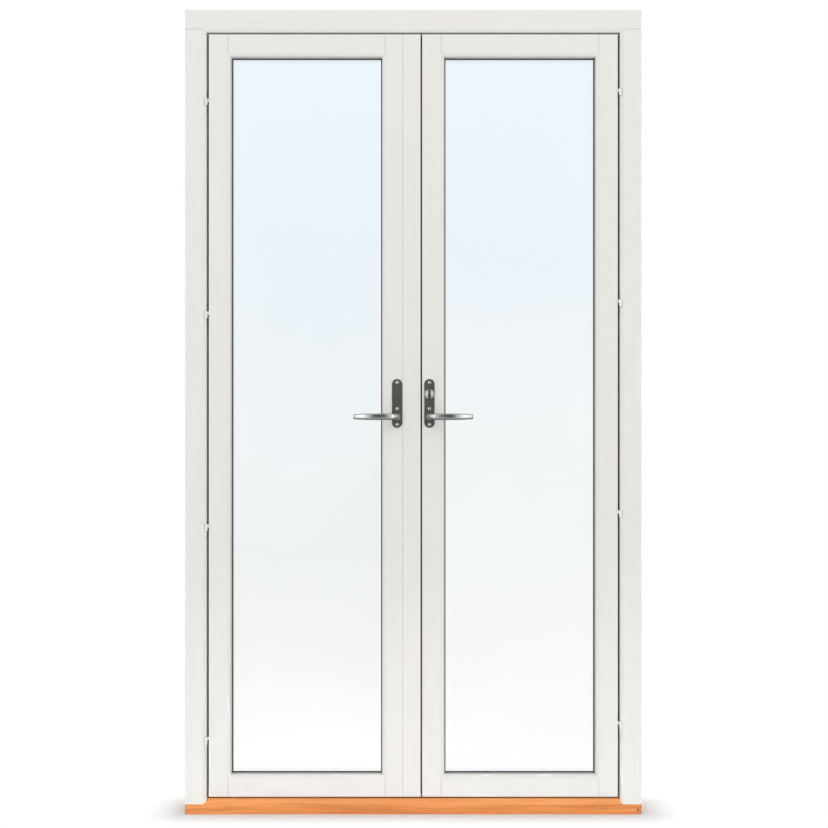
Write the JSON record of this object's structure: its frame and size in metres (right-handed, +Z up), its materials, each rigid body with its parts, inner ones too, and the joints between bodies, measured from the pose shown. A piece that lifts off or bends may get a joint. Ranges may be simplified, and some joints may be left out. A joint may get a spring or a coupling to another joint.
{
  "type": "french doors",
  "caption": "Painted wooden french doors in a frame with an oiled sill: glazed leaves that swing into the room, a false mullion, lever handles, a thumb-turn and shoot bolts.",
  "frame": {"origin": "middle of the underside of the sill", "axes": "+Z up, +X to the right as seen from the room, -Y into the room"},
  "size_m": [1.18, 0.1524, 2.08],
  "materials": {
    "white_paint": "white satin paint on wood",
    "oiled_wood": "oiled hardwood",
    "glass": "clear float glass",
    "seal_rubber": "matt black",
    "glazing_rubber": "matt black",
    "spacer": "mill",
    "polished_steel": "polished",
    "gunmetal": "dark lacquered",
    "screw_steel": "polished",
    "hinge_steel": "zinc plated",
    "lock_steel": "zinc plated"
  },
  "bodies": {
    "frame": {"frame_head": "white_paint", "frame_jamb_left": "white_paint", "frame_jamb_right": "white_paint", "sill": "oiled_wood", "seal_head": "seal_rubber", "seal_left": "seal_rubber", "seal_right": "seal_rubber", "seal_sill": "seal_rubber", "hinge_wings_frame_left": "hinge_steel", "hinge_wings_frame_right": "hinge_steel", "hinge_pins_left": "hinge_steel", "hinge_pins_right": "hinge_steel", "keep_head": "lock_steel", "keep_sill": "lock_steel"},
    "passive_leaf": {"passive_hinge_stile": "white_paint", "passive_meeting_stile": "white_paint", "passive_top_rail": "white_paint", "passive_bottom_rail": "white_paint", "passive_pane_inner": "glass", "passive_pane_outer": "glass", "passive_spacer": "spacer", "passive_sealant": "glazing_rubber", "passive_gasket_inner": "glazing_rubber", "passive_gasket_outer": "glazing_rubber", "passive_beads": "white_paint", "passive_setting_blocks": "glazing_rubber", "passive_hinge_wings": "hinge_steel", "passive_handle_plate": "gunmetal", "passive_plate_screws": "screw_steel", "passive_lever_ring": "polished_steel", "mullion": "white_paint", "mullion_seal": "seal_rubber", "strike_plate": "lock_steel", "passive_gearbox": "lock_steel"},
    "active_leaf": {"active_hinge_stile": "white_paint", "active_meeting_stile": "white_paint", "active_top_rail": "white_paint", "active_bottom_rail": "white_paint", "active_pane_inner": "glass", "active_pane_outer": "glass", "active_spacer": "spacer", "active_sealant": "glazing_rubber", "active_gasket_inner": "glazing_rubber", "active_gasket_outer": "glazing_rubber", "active_beads": "white_paint", "active_setting_blocks": "glazing_rubber", "active_hinge_wings": "hinge_steel", "active_handle_plate": "gunmetal", "active_plate_screws": "screw_steel", "active_lever_ring": "polished_steel", "lock_case": "lock_steel", "lock_forend": "lock_steel"},
    "passive_handle": {"passive_lever": "polished_steel", "passive_spindle": "lock_steel"},
    "active_handle": {"active_lever": "polished_steel", "active_spindle": "lock_steel"},
    "thumb_turn": {"thumb_turn": "polished_steel"},
    "lock_bolt": {"lock_bolt": "lock_steel"},
    "shoot_bolt_top": {"shoot_bolt_top": "lock_steel"},
    "shoot_bolt_bottom": {"shoot_bolt_bottom": "lock_steel"}
  },
  "joints": [
    {"name": "passive_leaf_swing", "type": "hinge", "parent": "frame", "child": "passive_leaf", "pos_m": [-0.537, -0.048, 1.017], "axis": [0, 0, -1], "range_deg": [0, 110]},
    {"name": "active_leaf_swing", "type": "hinge", "parent": "frame", "child": "active_leaf", "pos_m": [0.537, -0.048, 1.05], "axis": [0, 0, 1], "range_deg": [0, 110]},
    {"name": "passive_lever_turn", "type": "hinge", "parent": "passive_leaf", "child": "passive_handle", "pos_m": [-0.0418, -0.0488, 1.028], "axis": [0, -1, 0], "range_deg": [0, 90]},
    {"name": "active_lever_turn", "type": "hinge", "parent": "active_leaf", "child": "active_handle", "pos_m": [0.0418, -0.0488, 1.028], "axis": [0, 1, 0], "range_deg": [0, 90]},
    {"name": "thumb_turn_turn", "type": "hinge", "parent": "active_leaf", "child": "thumb_turn", "pos_m": [0.0418, -0.0488, 1.0866], "axis": [0, 1, 0], "range_deg": [0, 90]},
    {"name": "lock_bolt_slide", "type": "slide", "parent": "active_leaf", "child": "lock_bolt", "axis": [-1, 0, 0], "range_m": [0, 0.016]},
    {"name": "shoot_bolt_top_slide", "type": "slide", "parent": "passive_leaf", "child": "shoot_bolt_top", "axis": [0, 0, 1], "range_m": [0, 0.018]},
    {"name": "shoot_bolt_bottom_slide", "type": "slide", "parent": "passive_leaf", "child": "shoot_bolt_bottom", "axis": [0, 0, -1], "range_m": [0, 0.018]}
  ],
  "couplings": [
    {"joint": "lock_bolt_slide", "follows": "active_lever_turn", "m_per_rad": 0.010186},
    {"joint": "shoot_bolt_top_slide", "follows": "passive_lever_turn", "m_per_rad": 0.011459},
    {"joint": "shoot_bolt_bottom_slide", "follows": "passive_lever_turn", "m_per_rad": 0.011459}
  ]
}
